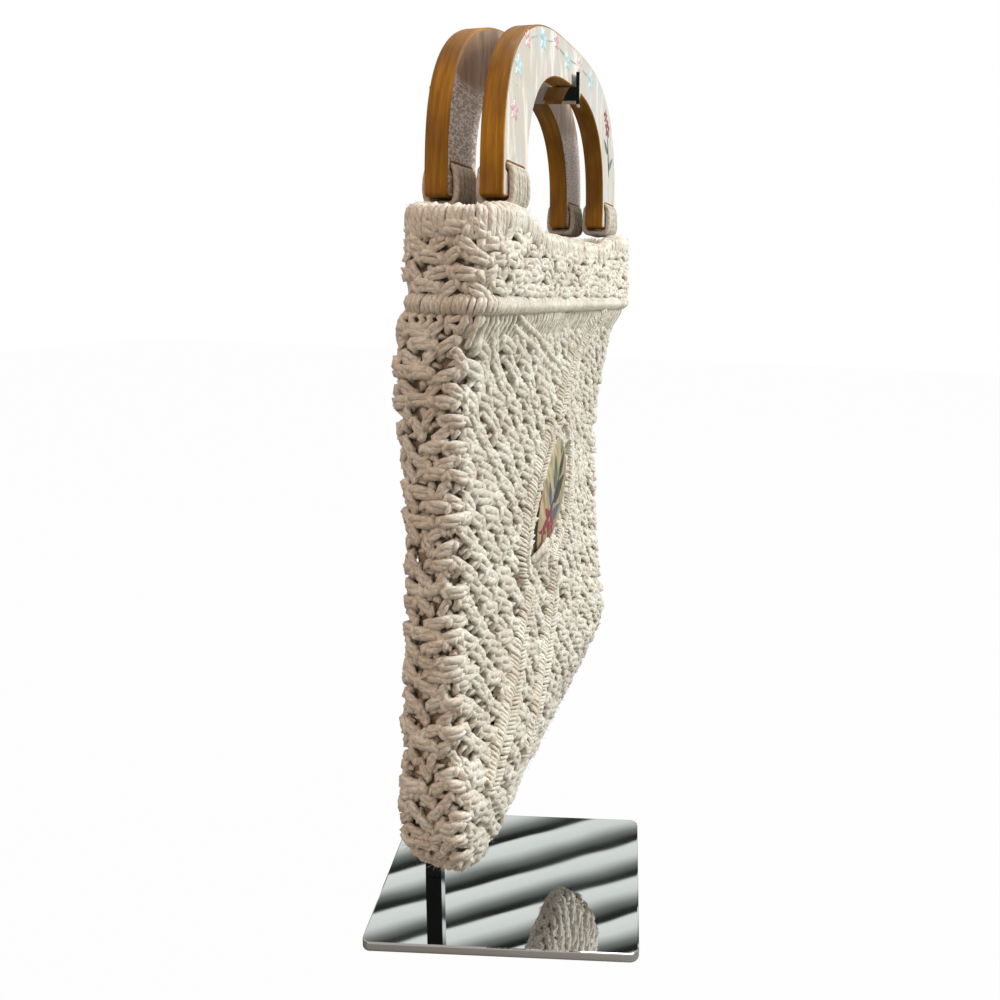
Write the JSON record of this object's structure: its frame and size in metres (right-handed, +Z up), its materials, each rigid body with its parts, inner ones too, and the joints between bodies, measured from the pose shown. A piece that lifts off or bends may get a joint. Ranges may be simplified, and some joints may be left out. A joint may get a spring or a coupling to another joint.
{
  "type": "knotted cotton handbag with wooden handles on a display stand",
  "caption": "Handbag of knotted cotton cord with two arched, painted wooden handles and a painted medallion, hung on the arm of a plain chrome display stand.",
  "frame": {"origin": "middle of the base plate's underside", "axes": "+Z up; X along the bag's width, with the end that is nearer in the picture at -X; the bag's front faces -Y. The stand is turned 12.75 degrees about Z under the bag."},
  "size_m": [0.3521, 0.2288, 0.6544],
  "materials": {
    "chrome": "mirror-bright chrome plate",
    "wood": "amber varnish on the edges, pearly painted lacquer on the faces",
    "cotton": "undyed cotton cord, knotted",
    "painted": "painted and varnished wood"
  },
  "bodies": {
    "root": {"stand_plate": "chrome", "stand_upright": "chrome", "handle_front": "wood", "handle_back": "wood", "cord_loops_front_near": "cotton", "cord_loops_front_far": "cotton", "cord_loops_back_near": "cotton", "cord_loops_back_far": "cotton", "bag_body": "cotton", "lower_ridge": "cotton", "top_band": "cotton", "mouth_rim": "cotton", "rib_upper_far": "cotton", "rib_upper_near": "cotton", "rib_frame_near": "cotton", "rib_frame_far": "cotton", "rib_lower_near": "cotton", "rib_lower_far": "cotton", "medallion": "painted"}
  },
  "joints": []
}
